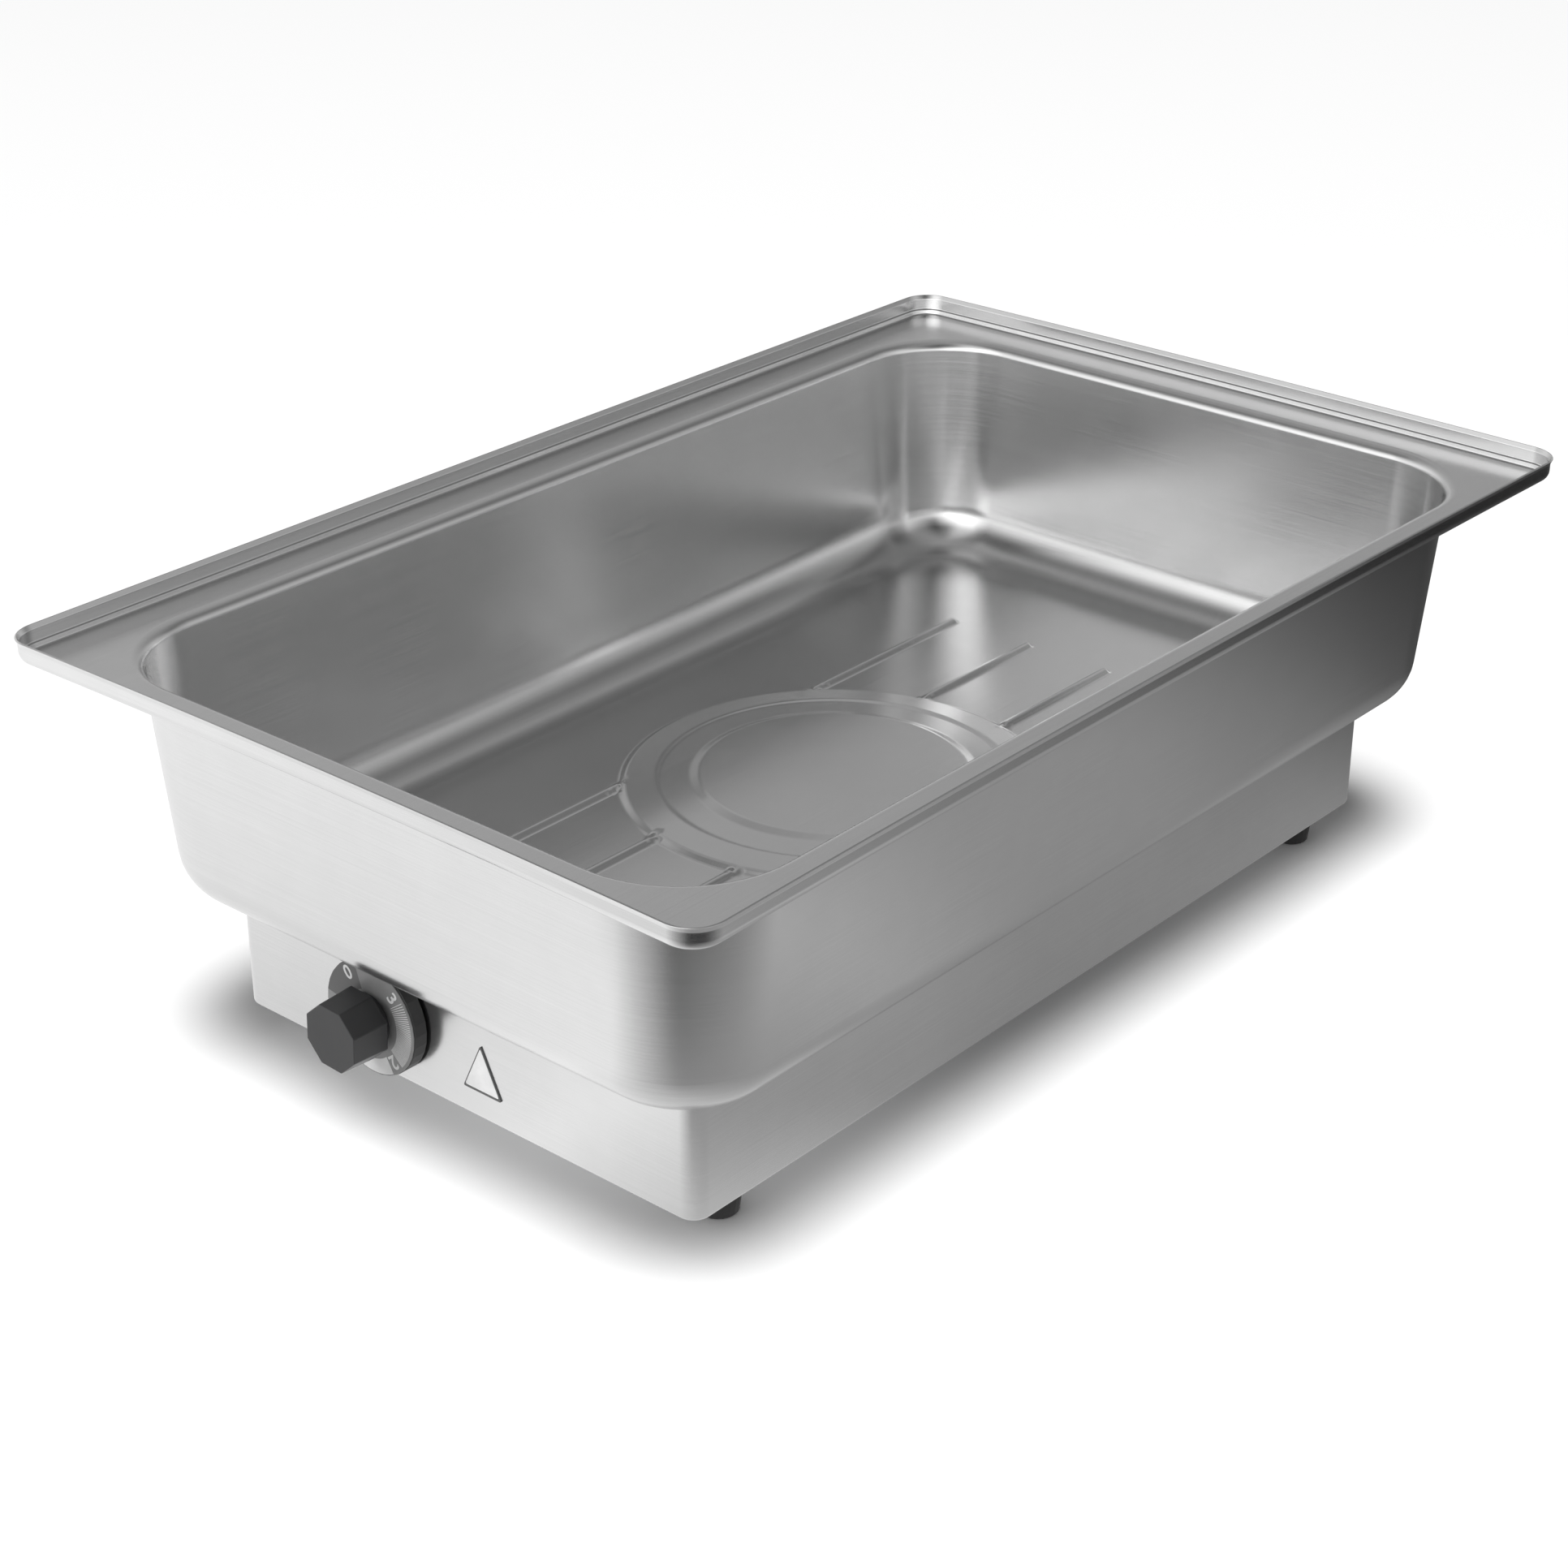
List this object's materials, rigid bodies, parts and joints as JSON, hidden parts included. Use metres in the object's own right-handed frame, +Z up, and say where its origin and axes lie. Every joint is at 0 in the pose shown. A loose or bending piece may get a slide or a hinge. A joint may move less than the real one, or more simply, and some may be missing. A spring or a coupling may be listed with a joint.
{
  "type": "steam table unit",
  "caption": "Electric steam table unit: a deep stainless water pan with a raised outer rim on a low heated base, with a front dial, rubber feet and a rear cable gland.",
  "frame": {"origin": "centre of the footprint, at the underside of the feet", "axes": "+Z up; the control dial is on the front, which faces -Y; the long sides run along Y; +X is the right-hand side seen from the front"},
  "size_m": [0.354, 0.56, 0.1765],
  "materials": {
    "stainless_steel": "satin brushed stainless steel",
    "casing_steel": "satin stainless steel sheet",
    "zinc_plated_steel": "zinc plated",
    "galvanised_steel": "galvanised sheet",
    "black_rubber": "matt black rubber",
    "knob_plastic": "satin black moulding",
    "dial_print": "dark grey printed disc with light markings",
    "plate_grey": "light grey plate",
    "phenolic": "moulded phenolic",
    "ceramic": "glazed ceramic",
    "aluminium": "machined plate",
    "element_sheath": "oxidised alloy sheath",
    "copper": "drawn copper",
    "insulation_wool": "mineral wool",
    "black_nylon": "moulded nylon",
    "brown_lead": "silicone insulation",
    "blue_lead": "silicone insulation",
    "green_lead": "silicone insulation"
  },
  "bodies": {
    "base": {"base_casing": "casing_steel", "bottom_plate": "galvanised_steel", "bulb_clip": "zinc_plated_steel", "capillary_tube": "copper", "casing_nut_front_left": "zinc_plated_steel", "casing_nut_front_right": "zinc_plated_steel", "casing_nut_rear_left": "zinc_plated_steel", "casing_nut_rear_right": "zinc_plated_steel", "clamp_bridge": "zinc_plated_steel", "clamp_nut": "zinc_plated_steel", "clamp_stud": "zinc_plated_steel", "control_screw_left": "zinc_plated_steel", "control_screw_right": "zinc_plated_steel", "cutout_strap": "zinc_plated_steel", "earth_lead": "green_lead", "earth_nut": "zinc_plated_steel", "earth_stud": "zinc_plated_steel", "element_lead": "brown_lead", "element_terminal_left": "ceramic", "element_terminal_right": "ceramic", "foot_nut_front_left": "zinc_plated_steel", "foot_nut_front_right": "zinc_plated_steel", "foot_nut_rear_left": "zinc_plated_steel", "foot_nut_rear_right": "zinc_plated_steel", "foot_screw_front_left": "zinc_plated_steel", "foot_screw_front_right": "zinc_plated_steel", "foot_screw_rear_left": "zinc_plated_steel", "foot_screw_rear_right": "zinc_plated_steel", "gland_body": "black_nylon", "gland_cap": "black_nylon", "gland_locknut": "black_nylon", "heat_shield": "galvanised_steel", "heat_spreader": "aluminium", "heating_element": "element_sheath", "insulation_pad": "insulation_wool", "live_lead": "brown_lead", "neutral_lead": "blue_lead", "pan_stud_front_left": "zinc_plated_steel", "pan_stud_front_right": "zinc_plated_steel", "pan_stud_rear_left": "zinc_plated_steel", "pan_stud_rear_right": "zinc_plated_steel", "rubber_foot_front_left": "black_rubber", "rubber_foot_front_right": "black_rubber", "rubber_foot_rear_left": "black_rubber", "rubber_foot_rear_right": "black_rubber", "safety_cutout": "phenolic", "sensing_bulb": "copper", "shield_spacer_front": "zinc_plated_steel", "shield_spacer_rear": "zinc_plated_steel", "switched_lead": "brown_lead", "terminal_block": "ceramic", "thermostat_body": "phenolic", "triangle_plate": "plate_grey", "water_pan": "stainless_steel"},
    "knob": {"dial_plate": "dial_print", "dial_skirt": "knob_plastic", "knob_grip": "knob_plastic", "thermostat_shaft": "zinc_plated_steel"}
  },
  "joints": [
    {"name": "knob_turn", "type": "hinge", "parent": "base", "child": "knob", "pos_m": [-0.0377, -0.2223, 0.04075], "axis": [0, 1, 0], "range_deg": [0, 280]}
  ]
}
